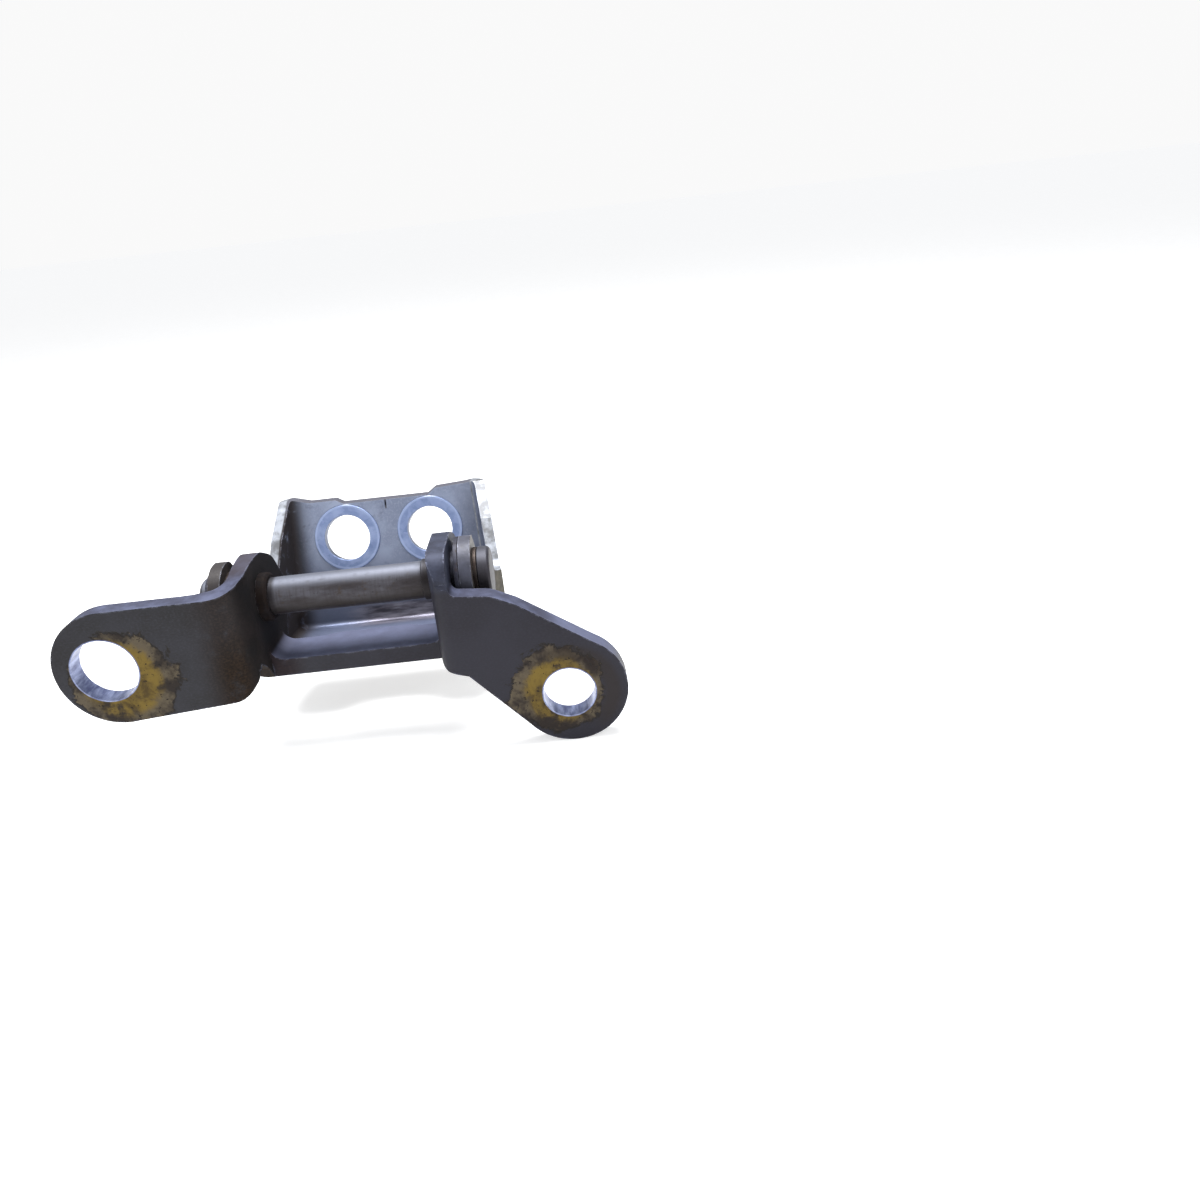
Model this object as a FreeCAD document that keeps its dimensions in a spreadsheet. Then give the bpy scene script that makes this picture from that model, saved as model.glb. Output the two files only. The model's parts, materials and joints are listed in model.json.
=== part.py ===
import FreeCAD, Part
import Sketcher
import math
import os

# Two-leaf vehicle door hinge, millimetres, +Z up.
# X runs along the pin, +Y points away from the face that bolts to the pillar.
# The origin is the centre of the larger pillar bolt hole, on the pillar bracket's mounting face.

os.makedirs("parts", exist_ok=True)
doc = FreeCAD.newDocument("hinge")

# ---------------------------------------------------------------- driving dimensions

DIMENSIONS = [
    # pillar bracket: pressed from one thick plate
    ("plate", 4.5, "thickness of the pillar bracket's two tabs"),
    ("ear_plate", 3.8, "thickness of its ears and web, drawn thinner by the press"),
    ("bend_in", 2.0, "inside radius of the slanted tab's bend"),
    ("bend_a_in", 3.2, "inside radius of the first tab's wider bend"),
    ("hole_a_dia", 13.4, "bolt hole in the square-cut tab"),
    ("hole_b_dia", 11.0, "bolt hole in the slanted tab"),
    ("hole_b_x", 92.6, "distance along the pin between the two bolt holes"),
    ("hole_b_z", -16.4, "drop of the second bolt hole"),
    ("tab_a_radius", 12.3, "rounded end of the tab round the first hole"),
    ("tab_a_cx", 2.0, "centre of that rounded end"),
    ("tab_a_cz", 0.3, "centre of that rounded end"),
    ("tab_a_top", 12.6, "top edge of the first tab"),
    ("tab_a_low", -9.9, "lower edge of the first tab at its bend"),
    ("tab_b_radius", 11.8, "rounded end of the slanted tab"),
    ("tab_b_cx", 93.2, "centre of that rounded end"),
    ("tab_b_cz", -15.9, "centre of that rounded end"),
    ("tab_b_top", 8.2, "top edge of the second tab at its bend"),
    ("tab_b_low", -8.6, "lower edge of the second tab at its bend"),
    ("tab_a_corner", 5.0, "free lower corner of the first tab"),
    ("tab_b_corner", 3.0, "free lower corner of the second tab"),
    ("ear_a_in", 30.0, "inner face of the first ear"),
    ("ear_b_in", 67.0, "inner face of the second ear"),
    ("ear_top", 15.9, "top edge of both pillar ears"),
    ("rise_start", 15.5, "where the top edge starts to rise through the first bend, measured along its diagonal"),
    ("rise_end", 30.5, "where that rise ends"),
    ("ear_a_low", -3.5, "where the first ear's lower edge leaves its tab"),
    ("ear_b_low", -5.5, "where the second ear's lower edge leaves its tab"),
    ("ear_back", 31.2, "rearmost point of the pillar ears"),
    ("ear_back_z", 4.4, "height of that point"),
    ("web_top", -6.0, "top face of the web that joins the ears"),
    ("web_front", 9.6, "front edge of the web"),
    ("web_rear", 21.5, "rear edge of the web between the ears"),
    ("web_step", 1.1, "small step near both ends of the web's rear edge"),
    # pin line
    ("pin_y", 14.0, "pin axis behind the mounting face"),
    ("pin_z", 7.0, "pin axis above the first bolt hole"),
    ("pin_dia", 8.0, "pin shaft"),
    ("collar_dia", 10.4, "collar beside the first ear"),
    ("collar_len", 2.2, "collar length"),
    ("head_dia", 11.4, "formed head of the pin"),
    ("head_len", 2.6, "height of the formed head"),
    ("peen_dia", 10.6, "riveted end of the pin"),
    ("peen_len", 1.9, "height of the riveted end"),
    ("end_washer_dia", 13.0, "washer under the riveted end"),
    ("end_washer_len", 1.1, "its thickness"),
    ("spacer_dia", 11.0, "spacer ring between ear and thrust washer"),
    ("spacer_len", 1.0, "its thickness"),
    ("shoulder_dia", 8.8, "ridge of the pin beside the second ear"),
    ("shoulder_len", 2.6, "its length"),
    ("thrust_a_dia", 12.4, "thrust washer on the first ear"),
    ("thrust_a_len", 1.2, "its thickness"),
    ("thrust_b_dia", 16.6, "thrust washer towards the formed head"),
    ("thrust_b_len", 0.9, "its thickness"),
    ("bush_dia", 10.0, "outside of the bush sleeves"),
    ("bush_bore", 8.1, "bore of the bushes, 0.05 mm clear of the pin all round"),
    ("bush_flange_dia", 12.6, "flange of the bush on the first ear"),
    ("bush_a_flange", 1.0, "thickness of that flange"),
    ("bush_b_flange", 0.8, "flange of the other bush, under the pin head"),
    ("side_play", 0.1, "axial play between parts that turn against each other"),
    # door bracket: pressed from thinner sheet
    ("sheet", 2.6, "door bracket sheet thickness"),
    ("door_centre", 51.2, "middle of the door bracket along the pin"),
    ("door_half_rear", 25.1, "half its width at the mounting plate's top corners"),
    ("door_half_front", 28.3, "half its width where the sides reach the ears"),
    ("door_rear", 54.0, "where the rear half width is measured"),
    ("door_front", 30.0, "where the flare ends and the joggle to the ears begins"),
    ("joggle_end", 23.0, "where the joggle ends and the flat ears begin"),
    ("door_ear_radius", 8.3, "rounded ends of the door bracket ears"),
    ("face_y", 48.0, "mounting plate's inner face at the height of the origin"),
    ("face_slope", 0.2867, "how far that face leans back per millimetre of height"),
    ("face_top", 17.0, "top corners of the mounting plate"),
    ("notch_top", 14.9, "bottom of the long shallow notch in the top edge"),
    ("notch_x1", 40.5, "one end of the notch"),
    ("notch_x2", 62.9, "other end of the notch"),
    ("tick_x", 51.6, "scribed centre mark under the notch"),
    ("tick_len", 2.0, "its length"),
    ("tick_deep", 0.3, "its depth and width"),
    ("shelf_top", -13.5, "inner face of the lower web"),
    ("shelf_front", 25.0, "free edge of the lower web"),
    ("seat_hole_dia", 11.0, "bore of the seat rings in the mounting plate"),
    ("seat_ring_dia", 16.0, "outside of the seat rings"),
    ("seat_x1", 41.3, "first hole of the mounting plate along the pin"),
    ("seat_x2", 61.7, "second hole of the mounting plate along the pin"),
    ("seat_up", 7.3, "holes above the origin's height, measured up the plate"),
    ("seat_raise", 0.35, "height of the seat rings above the plate's inner face"),
]

sheet = doc.addObject("Spreadsheet::Sheet", "Dims")
for row, (alias, value, note) in enumerate(DIMENSIONS, start=1):
    sheet.set("A%d" % row, note)
    sheet.set("B%d" % row, str(value))
    sheet.setAlias("B%d" % row, alias)
doc.recompute()


def cell(expression):
    """Write every known dimension name in an expression as a reference to the sheet."""
    words = []
    word = ""
    for letter in expression + " ":
        if letter.isalnum() or letter == "_":
            word += letter
            continue
        words.append("Dims." + word if word in NAMES else word)
        words.append(letter)
        word = ""
    return "".join(words).strip()


NAMES = {alias for alias, value, note in DIMENSIONS}


def value_of(expression):
    """The present value of an expression, worked out by the sheet itself."""
    return float(sheet.evalExpression(cell(expression)))


# ---------------------------------------------------------------- helpers

def origin_plane(body, role):
    return [item for item in body.Origin.OriginFeatures if item.Role == role][0]


def new_body(name):
    body = doc.addObject("PartDesign::Body", name)
    body.Label = name
    return body


def new_sketch(body, name, role, offset="0"):
    """An empty sketch on an origin plane, moved along the plane's normal."""
    sketch = body.newObject("Sketcher::SketchObject", name)
    sketch.AttachmentSupport = [(origin_plane(body, role), "")]
    sketch.MapMode = "FlatFace"
    sketch.setExpression(".AttachmentOffset.Base.z", cell(offset))
    return sketch


def bind(sketch, index, expression):
    sketch.setExpression("Constraints[%d]" % index, cell(expression))


def add_polygon(sketch, corners):
    """A closed polygon whose corner coordinates all follow the sheet."""
    points = [(value_of(a), value_of(b)) for a, b in corners]
    first = sketch.GeometryCount
    count = len(points)
    for i in range(count):
        start = FreeCAD.Vector(points[i][0], points[i][1], 0)
        end = FreeCAD.Vector(points[(i + 1) % count][0], points[(i + 1) % count][1], 0)
        sketch.addGeometry(Part.LineSegment(start, end), False)
    for i in range(count):
        after = first + (i + 1) % count
        sketch.addConstraint(Sketcher.Constraint("Coincident", first + i, 2, after, 1))
    for i, (a, b) in enumerate(corners):
        for kind, value, expression in (("DistanceX", points[i][0], a), ("DistanceY", points[i][1], b)):
            index = sketch.addConstraint(Sketcher.Constraint(kind, -1, 1, first + i, 1, value))
            bind(sketch, index, expression)


def add_circle(sketch, centre_x, centre_y, diameter):
    x, y, radius = value_of(centre_x), value_of(centre_y), value_of(diameter) / 2
    line = sketch.addGeometry(Part.Circle(FreeCAD.Vector(x, y, 0), FreeCAD.Vector(0, 0, 1), radius), False)
    for kind, value, expression in (("DistanceX", x, centre_x), ("DistanceY", y, centre_y)):
        index = sketch.addConstraint(Sketcher.Constraint(kind, -1, 1, line, 3, value))
        bind(sketch, index, expression)
    index = sketch.addConstraint(Sketcher.Constraint("Diameter", line, radius * 2))
    bind(sketch, index, diameter)


def add_corner(sketch, corner_x, corner_z, radius, side):
    """What lies outside a rounded lower corner; side is +1 for a right-hand corner, -1 for a left-hand one."""
    x, z, r = value_of(corner_x), value_of(corner_z), value_of(radius)
    middle = FreeCAD.Vector(x - side * r, z + r, 0)
    centre_x = "(%s) - %d * (%s)" % (corner_x, side, radius)
    centre_z = "(%s) + (%s)" % (corner_z, radius)
    slack = 3
    below = FreeCAD.Vector(middle.x, z, 0)
    beside = FreeCAD.Vector(x, middle.y, 0)
    outer = [below, FreeCAD.Vector(middle.x, z - slack, 0), FreeCAD.Vector(x + side * slack, z - slack, 0),
             FreeCAD.Vector(x + side * slack, middle.y, 0), beside]
    turn = (-90, 0) if side > 0 else (180, 270)
    circle = Part.Circle(middle, FreeCAD.Vector(0, 0, 1), r)
    arc = sketch.addGeometry(Part.ArcOfCircle(circle, math.radians(turn[0]), math.radians(turn[1])), False)
    for start, end in zip(outer, outer[1:]):
        sketch.addGeometry(Part.LineSegment(start, end), False)
    for kind, value, expression in (("DistanceX", middle.x, centre_x), ("DistanceY", middle.y, centre_z)):
        index = sketch.addConstraint(Sketcher.Constraint(kind, -1, 1, arc, 3, value))
        bind(sketch, index, expression)
    index = sketch.addConstraint(Sketcher.Constraint("Radius", arc, r))
    bind(sketch, index, radius)


def add_rise(sketch, start, low, end, high):
    """Everything above an S-shaped rise of two equal arcs, level at both ends."""
    x1, z1, x2, z2 = value_of(start), value_of(low), value_of(end), value_of(high)
    half_run, half_rise = (x2 - x1) / 2, (z2 - z1) / 2
    radius = (half_run ** 2 + half_rise ** 2) / (2 * half_rise)
    turn = math.asin(half_run / radius)
    up = FreeCAD.Vector(0, 0, 1)
    lower = Part.Circle(FreeCAD.Vector(x1, z1 + radius, 0), up, radius)
    upper = Part.Circle(FreeCAD.Vector(x2, z2 - radius, 0), up, radius)
    sketch.addGeometry(Part.ArcOfCircle(lower, -math.pi / 2, turn - math.pi / 2), False)
    sketch.addGeometry(Part.ArcOfCircle(upper, math.pi / 2, math.pi / 2 + turn), False)
    above = z2 + 5
    corners = [(x2, z2), (x2, above), (x1 - 40, above), (x1 - 40, z1), (x1, z1)]
    points = [FreeCAD.Vector(x, z, 0) for x, z in corners]
    for one, two in zip(points, points[1:]):
        sketch.addGeometry(Part.LineSegment(one, two), False)
    for first, point, second, other in ((0, 2, 1, 2), (1, 1, 2, 1), (2, 2, 3, 1), (3, 2, 4, 1), (4, 2, 5, 1),
                                        (5, 2, 0, 1)):
        sketch.addConstraint(Sketcher.Constraint("Coincident", first, point, second, other))


def finish_feature(body, feature, sketch):
    sketch.Visibility = False
    doc.recompute()
    body.Tip = feature
    doc.recompute()
    assert feature.isValid() and feature.Shape.isValid() and feature.Shape.Volume > 1, feature.Name + " failed"
    return feature


def pad(body, sketch, length, reverse=False):
    feature = body.newObject("PartDesign::Pad", sketch.Name.replace("_sketch", ""))
    feature.Profile = sketch
    feature.setExpression("Length", cell(length))
    feature.Reversed = reverse
    return finish_feature(body, feature, sketch)


def pocket_all(body, sketch):
    """Cut a profile right through the body, both ways from its sketch, and check that it cut."""
    before = body.Shape.Volume
    feature = body.newObject("PartDesign::Pocket", sketch.Name.replace("_sketch", ""))
    feature.Profile = sketch
    feature.Type = "ThroughAll"
    feature.Midplane = True
    finish_feature(body, feature, sketch)
    assert body.Shape.Volume < before - 0.01, feature.Name + " cut nothing"
    return feature


def pocket(body, sketch, length):
    """Cut a profile to a depth, against its sketch's normal."""
    before = body.Shape.Volume
    feature = body.newObject("PartDesign::Pocket", sketch.Name.replace("_sketch", ""))
    feature.Profile = sketch
    feature.setExpression("Length", cell(length))
    finish_feature(body, feature, sketch)
    assert body.Shape.Volume < before - 0.01, feature.Name + " cut nothing"
    return feature


def edges_along(shape, direction, spots, tolerance=0.05):
    """Names of the straight edges along one axis that pass within tolerance of the given spots.

    A spot gives the two coordinates across that axis, in X, Y, Z order."""
    axis = "xyz".index(direction)
    across = [i for i in range(3) if i != axis]
    found = []
    for number, edge in enumerate(shape.Edges, start=1):
        if len(edge.Vertexes) != 2:
            continue
        one, two = edge.Vertexes[0].Point, edge.Vertexes[1].Point
        if any(abs(one[i] - two[i]) > 1e-6 for i in across):
            continue
        for spot in spots:
            if all(abs(one[i] - value) < tolerance for i, value in zip(across, spot)):
                found.append("Edge%d" % number)
    return found


def round_edges(body, name, direction, spots, radius):
    base = body.Tip
    found = edges_along(base.Shape, direction, spots)
    assert found, name + " found no edge"
    feature = body.newObject("PartDesign::Fillet", name)
    feature.Base = (base, found)
    feature.setExpression("Radius", cell(radius))
    doc.recompute()
    assert feature.isValid() and feature.Shape.isValid() and feature.Shape.Volume > 1, name + " failed"
    body.Tip = feature
    return feature


def spots(*pairs):
    return [(value_of(a), value_of(b)) for a, b in pairs]


# ---------------------------------------------------------------- pillar bracket

def build_pillar_bracket():
    body = new_body("pillar_bracket")

    # two tabs that lie flat against the pillar; the XZ plane's normal points to -Y
    tab_a = new_sketch(body, "tab_a_sketch", "XZ_Plane")
    add_polygon(tab_a, [
        ("tab_a_cx", "tab_a_cz - tab_a_radius"),
        ("ear_a_in", "tab_a_low"),
        ("ear_a_in", "ear_top"),
        ("14", "ear_top"),
        ("14", "tab_a_top"),
        ("tab_a_cx", "tab_a_cz + tab_a_radius")])
    pad(body, tab_a, "plate", reverse=True)
    end_a = new_sketch(body, "tab_a_end_sketch", "XZ_Plane")
    add_circle(end_a, "tab_a_cx", "tab_a_cz", "2 * tab_a_radius")
    pad(body, end_a, "plate", reverse=True)

    # ears square to the pin, each with its pin hole and a well-rounded rear end
    rear = [("18", "ear_top"), ("25.5", "ear_top - 3.3"), ("ear_back", "ear_back_z"),
            ("web_rear", "web_top - ear_plate"), ("web_front", "web_top - ear_plate")]
    ear_a = new_sketch(body, "ear_a_sketch", "YZ_Plane", "ear_a_in - ear_plate")
    add_polygon(ear_a, [
        ("0", "ear_a_low"), ("0", "ear_top")]
        + rear + [("7.1", "ear_a_low - 3"), ("plate", "ear_a_low - 0.9")])
    add_circle(ear_a, "pin_y", "pin_z", "pin_dia")
    pad(body, ear_a, "ear_plate")
    ear_b = new_sketch(body, "ear_b_sketch", "YZ_Plane", "ear_b_in")
    add_polygon(ear_b, [
        ("0", "ear_b_low"), ("0", "tab_b_top + 1"), ("0.8", "tab_b_top + 2"), ("0.8", "ear_top")]
        + rear + [("plate", "ear_b_low - 1")])
    add_circle(ear_b, "pin_y", "pin_z", "pin_dia")
    pad(body, ear_b, "ear_plate")

    # web that joins the ears under the pin, its rear edge stepped near both ends
    web = new_sketch(body, "web_sketch", "XY_Plane", "web_top - ear_plate")
    add_polygon(web, [
        ("ear_a_in - ear_plate", "web_front"), ("ear_b_in + ear_plate", "web_front"),
        ("ear_b_in + ear_plate", "web_rear - web_step"), ("ear_b_in - 6", "web_rear - web_step"),
        ("ear_b_in - 9", "web_rear"), ("ear_a_in + 13", "web_rear"),
        ("ear_a_in + 9", "web_rear - web_step"), ("ear_a_in - ear_plate", "web_rear - web_step")])
    pad(body, web, "ear_plate")

    # slanted second tab
    tab_b = new_sketch(body, "tab_b_sketch", "XZ_Plane")
    add_polygon(tab_b, [
        ("ear_b_in", "tab_b_low"), ("ear_b_in", "tab_b_top"), ("ear_b_in + 12", "tab_b_top - 1.2"),
        ("ear_b_in + 17", "tab_b_top - 3.6"), ("tab_b_cx + 6.9", "tab_b_cz + 9.5"),
        ("hole_b_x", "hole_b_z"), ("tab_b_cx - 8.9", "tab_b_cz - 7.7"), ("ear_b_in + 5.4", "tab_b_low - 1.6")])
    pad(body, tab_b, "plate", reverse=True)
    end_b = new_sketch(body, "tab_b_end_sketch", "XZ_Plane")
    add_circle(end_b, "tab_b_cx", "tab_b_cz", "2 * tab_b_radius")
    pad(body, end_b, "plate", reverse=True)

    # bends: outside radius is the inside radius plus the plate
    ear_a_out = "ear_a_in - ear_plate"
    ear_b_out = "ear_b_in + ear_plate"
    round_edges(body, "tab_a_bend_inside", "z", spots((ear_a_out, "plate")), "bend_a_in")
    round_edges(body, "tab_b_bend_inside", "z", spots((ear_b_out, "plate")), "bend_in")
    round_edges(body, "web_bends_inside", "y", spots(("ear_a_in", "web_top"), ("ear_b_in", "web_top")),
                "bend_in + 1")
    round_edges(body, "web_bends_outside", "y",
                spots((ear_a_out, "web_top - ear_plate"), (ear_b_out, "web_top - ear_plate")), "3")
    round_edges(body, "tab_a_bend_outside", "z", spots(("ear_a_in", "0")), "ear_plate + bend_a_in")
    round_edges(body, "tab_b_bend_outside", "z", spots(("ear_b_in", "0")), "ear_plate - 0.2")

    # the first bend's top edge rises from the tab to the ear; the sketch looks square to the bend's diagonal
    rise = new_sketch(body, "bend_rise_sketch", "XZ_Plane")
    diagonal = FreeCAD.Rotation(FreeCAD.Vector(0, 1, 0), 45)
    rise.AttachmentOffset = FreeCAD.Placement(FreeCAD.Vector(0, 0, 0), diagonal)
    add_rise(rise, "rise_start", "tab_a_top", "rise_end", "ear_top")
    pocket_all(body, rise)

    # rounded corners of the blank
    round_edges(body, "ear_tops", "x", spots(("18", "ear_top"), ("25.5", "ear_top - 3.3")), "9")
    round_edges(body, "ear_backs", "x", spots(("ear_back", "ear_back_z")), "3.5")
    round_edges(body, "ear_b_front", "x", spots(("0.8", "ear_top")), "5.4")
    round_edges(body, "tab_corners", "y",
                spots(("ear_b_in + 12", "tab_b_top - 1.2"), ("ear_b_in + 17", "tab_b_top - 3.6")), "6")

    round_edges(body, "ear_b_root", "y", spots((ear_b_out, "tab_b_top - 0.1 * ear_plate")), "1.8")

    # holes for the bolts
    bolts = new_sketch(body, "bolt_holes_sketch", "XZ_Plane")
    add_circle(bolts, "0", "0", "hole_a_dia")
    add_circle(bolts, "hole_b_x", "hole_b_z", "hole_b_dia")
    pocket_all(body, bolts)

    # free lower corners of both tabs
    corners = new_sketch(body, "free_corners_sketch", "XZ_Plane")
    add_corner(corners, "ear_a_in - 1", "tab_a_low - 0.45", "tab_a_corner", 1)
    add_corner(corners, "ear_b_in", "tab_b_low - 0.89", "tab_b_corner", -1)
    pocket(body, corners, "plate")
    return body


# ---------------------------------------------------------------- parts on the pin line

def turned_part(name, steps, bore=None):
    """A part turned about the pin axis: a row of (start, end, diameter) along X, with an optional bore."""
    body = new_body(name)
    for number, (start, end, diameter) in enumerate(steps, start=1):
        sketch = new_sketch(body, "%s_step%d_sketch" % (name, number), "YZ_Plane", start)
        add_circle(sketch, "pin_y", "pin_z", diameter)
        if bore:
            add_circle(sketch, "pin_y", "pin_z", bore)
        pad(body, sketch, "(%s) - (%s)" % (end, start))
    return body


def soften_ends(body, ends, diameter, size):
    """Chamfer the round edges of one diameter at the given positions along X."""
    base = body.Tip
    radius = value_of(diameter) / 2
    places = [value_of(end) for end in ends]
    found = []
    for number, edge in enumerate(base.Shape.Edges, start=1):
        if not hasattr(edge.Curve, "Radius") or abs(edge.Curve.Radius - radius) > 0.001:
            continue
        if any(abs(edge.Curve.Center.x - place) < 0.001 for place in places):
            found.append("Edge%d" % number)
    assert found, body.Name + " has no such edge"
    feature = body.newObject("PartDesign::Chamfer", body.Name + "_chamfer")
    feature.Base = (base, found)
    feature.setExpression("Size", cell(size))
    doc.recompute()
    assert feature.isValid() and feature.Shape.isValid() and feature.Shape.Volume > 1, feature.Name + " failed"
    body.Tip = feature


# stations along X, from the riveted end to the formed head
EAR_A_OUT = "(ear_a_in - ear_plate)"
EAR_B_OUT = "(ear_b_in + ear_plate)"
THRUST_A_OUT = "(%s - thrust_a_len)" % EAR_A_OUT
BUSH_A_RIM = "(%s - side_play)" % THRUST_A_OUT
DOOR_A_IN = "(%s - bush_a_flange)" % BUSH_A_RIM
DOOR_A_OUT = "(%s - sheet)" % DOOR_A_IN
END_WASHER_IN = "(%s - side_play)" % DOOR_A_OUT
END_WASHER_OUT = "(%s - end_washer_len)" % END_WASHER_IN
PIN_START = "(%s - peen_len)" % END_WASHER_OUT
SPACER_OUT = "(%s + spacer_len)" % EAR_B_OUT
THRUST_B_OUT = "(%s + thrust_b_len)" % SPACER_OUT
DOOR_B_IN = "(%s + side_play)" % THRUST_B_OUT
DOOR_B_OUT = "(%s + sheet)" % DOOR_B_IN
BUSH_B_RIM = "(%s + bush_b_flange)" % DOOR_B_OUT
HEAD_IN = "(%s + side_play)" % BUSH_B_RIM
PIN_END = "(%s + head_len)" % HEAD_IN


def build_pin_line():
    pin = turned_part("hinge_pin", [
        (PIN_START, END_WASHER_OUT, "peen_dia"),
        (END_WASHER_OUT, HEAD_IN, "pin_dia"),
        ("ear_b_in - shoulder_len", "ear_b_in", "shoulder_dia"),
        (HEAD_IN, PIN_END, "head_dia")])
    soften_ends(pin, [PIN_START], "peen_dia", "0.7")
    soften_ends(pin, [PIN_END], "head_dia", "0.5")
    collar = turned_part("pin_collar", [("ear_a_in", "ear_a_in + collar_len", "collar_dia")], "pin_dia")
    soften_ends(collar, ["ear_a_in + collar_len"], "collar_dia", "0.5")
    end_washer = turned_part("end_washer", [(END_WASHER_OUT, END_WASHER_IN, "end_washer_dia")], "pin_dia")
    spacer = turned_part("spacer_ring", [(EAR_B_OUT, SPACER_OUT, "spacer_dia")], "pin_dia")
    thrust_a = turned_part("thrust_washer_peened_end", [(THRUST_A_OUT, EAR_A_OUT, "thrust_a_dia")], "pin_dia")
    thrust_b = turned_part("thrust_washer_head_end", [(SPACER_OUT, THRUST_B_OUT, "thrust_b_dia")], "pin_dia")
    bush_a = turned_part("bush_peened_end", [
        (DOOR_A_OUT, DOOR_A_IN, "bush_dia"),
        (DOOR_A_IN, BUSH_A_RIM, "bush_flange_dia")], "bush_bore")
    bush_b = turned_part("bush_head_end", [
        (DOOR_B_IN, DOOR_B_OUT, "bush_dia"),
        (DOOR_B_OUT, BUSH_B_RIM, "head_dia")], "bush_bore")
    return [pin, collar, end_washer, spacer, thrust_a, thrust_b, bush_a, bush_b]


# ---------------------------------------------------------------- door bracket

# face of the mounting plate at height z, and the same face on the outside
def face(z):
    return "(face_y + face_slope * (%s))" % z


LEAN = "sqrt(1 + face_slope * face_slope)"


def back(z):
    return "(%s + sheet * %s)" % (face(z), LEAN)


def plan(inset):
    """Outline seen from above: sides flare towards the pin, then joggle in to the flat ears."""
    far = "(door_rear + 12)"
    front = "(pin_y - door_ear_radius - 1)"
    slope = "((door_half_front - door_half_rear) / (door_rear - door_front))"
    far_half = "(door_half_rear - %s * 12 - %s)" % (slope, inset)
    front_half = "(door_half_front - %s)" % inset
    return [
        ("door_centre - %s" % far_half, far),
        ("door_centre - %s" % front_half, "door_front"),
        ("%s + %s" % (DOOR_A_OUT, inset), "joggle_end"),
        ("%s + %s" % (DOOR_A_OUT, inset), front),
        ("%s - %s" % (DOOR_B_OUT, inset), front),
        ("%s - %s" % (DOOR_B_OUT, inset), "joggle_end"),
        ("door_centre + %s" % front_half, "door_front"),
        ("door_centre + %s" % far_half, far)]


def side_profile():
    """Outline of the sides seen along the pin."""
    low = "(shelf_top - sheet)"
    return [
        ("pin_y - door_ear_radius", "pin_z + door_ear_radius"), ("pin_y + 2.5", "pin_z + door_ear_radius"),
        ("pin_y + 8.5", "pin_z + 1.5"), ("pin_y + 14", "pin_z - 5"), ("pin_y + 21", "pin_z - 6.5"),
        (face("5") + " - 10.3", "5"), (face("10") + " - 7.3", "10"),
        (face("face_top") + " - 0.4", "face_top"), (back("face_top"), "face_top"),
        (back(low), low),
        ("shelf_front", low), ("shelf_front", "shelf_top"),
        ("shelf_front + 8", "shelf_top + 2.6"), ("pin_y + 8.5", "pin_z - 13.1"),
        ("pin_y - door_ear_radius", "pin_z - 0.634 * door_ear_radius")]


def add_frame_with_window(sketch, corners):
    """A large rectangle round a profile: padded or pocketed, it leaves only what lies inside the profile."""
    add_polygon(sketch, [("0 - 200", "0 - 200"), ("200", "0 - 200"), ("200", "200"), ("0 - 200", "200")])
    add_polygon(sketch, corners)


def edges_through(shape, places, tolerance=0.05):
    """Names of the edges that pass within tolerance of the given points."""
    found = []
    for number, edge in enumerate(shape.Edges, start=1):
        for place in places:
            vertex = Part.Vertex(FreeCAD.Vector(*[value_of(value) for value in place]))
            if edge.distToShape(vertex)[0] < tolerance:
                found.append("Edge%d" % number)
    assert len(found) >= len(places), "an edge is missing"
    return sorted(set(found))


def round_through(body, name, places, radius):
    base = body.Tip
    feature = body.newObject("PartDesign::Fillet", name)
    feature.Base = (base, edges_through(base.Shape, places))
    feature.setExpression("Radius", cell(radius))
    doc.recompute()
    assert feature.isValid() and feature.Shape.isValid() and feature.Shape.Volume > 1, name + " failed"
    body.Tip = feature


def half_width(y, inset):
    slope = "((door_half_front - door_half_rear) / (door_rear - door_front))"
    return "(door_half_front - %s * (%s - door_front) - %s)" % (slope, y, inset)


def trough(name, inset, profile, corner_radius, wall, floor):
    """The flared trough of the door bracket, or the space inside it, with its three bends rounded."""
    body = new_body(name)
    above = new_sketch(body, name + "_plan_sketch", "XY_Plane", "0 - 40")
    add_polygon(above, plan(inset))
    pad(body, above, "80")
    side = new_sketch(body, name + "_side_sketch", "YZ_Plane")
    add_frame_with_window(side, profile)
    pocket_all(body, side)
    corners = []
    for sign in ("-", "+"):
        corners.append(("door_centre %s %s" % (sign, half_width(wall("0"), inset)), wall("0"), "0"))
        corners.append(("door_centre %s %s" % (sign, half_width("40", inset)), "40", floor))
    corners.append(("door_centre", wall(floor), floor))
    round_through(body, name + "_bends", corners, corner_radius)
    return body


def plate_sketch(body, name, raised="0"):
    """A sketch on the mounting plate's inner face: its X along the pin, its Y up the leaning plate."""
    sketch = body.newObject("Sketcher::SketchObject", name)
    sketch.AttachmentSupport = [(origin_plane(body, "XZ_Plane"), "")]
    sketch.MapMode = "FlatFace"
    lean = FreeCAD.Rotation(FreeCAD.Vector(1, 0, 0), -10)
    sketch.AttachmentOffset = FreeCAD.Placement(FreeCAD.Vector(0, 0, 0), lean)
    sketch.setExpression(".AttachmentOffset.Rotation.Angle", cell("0 deg - atan(face_slope)"))
    sketch.setExpression(".AttachmentOffset.Base.z", cell("(%s) * %s - face_y" % (raised, LEAN)))
    return sketch


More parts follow.
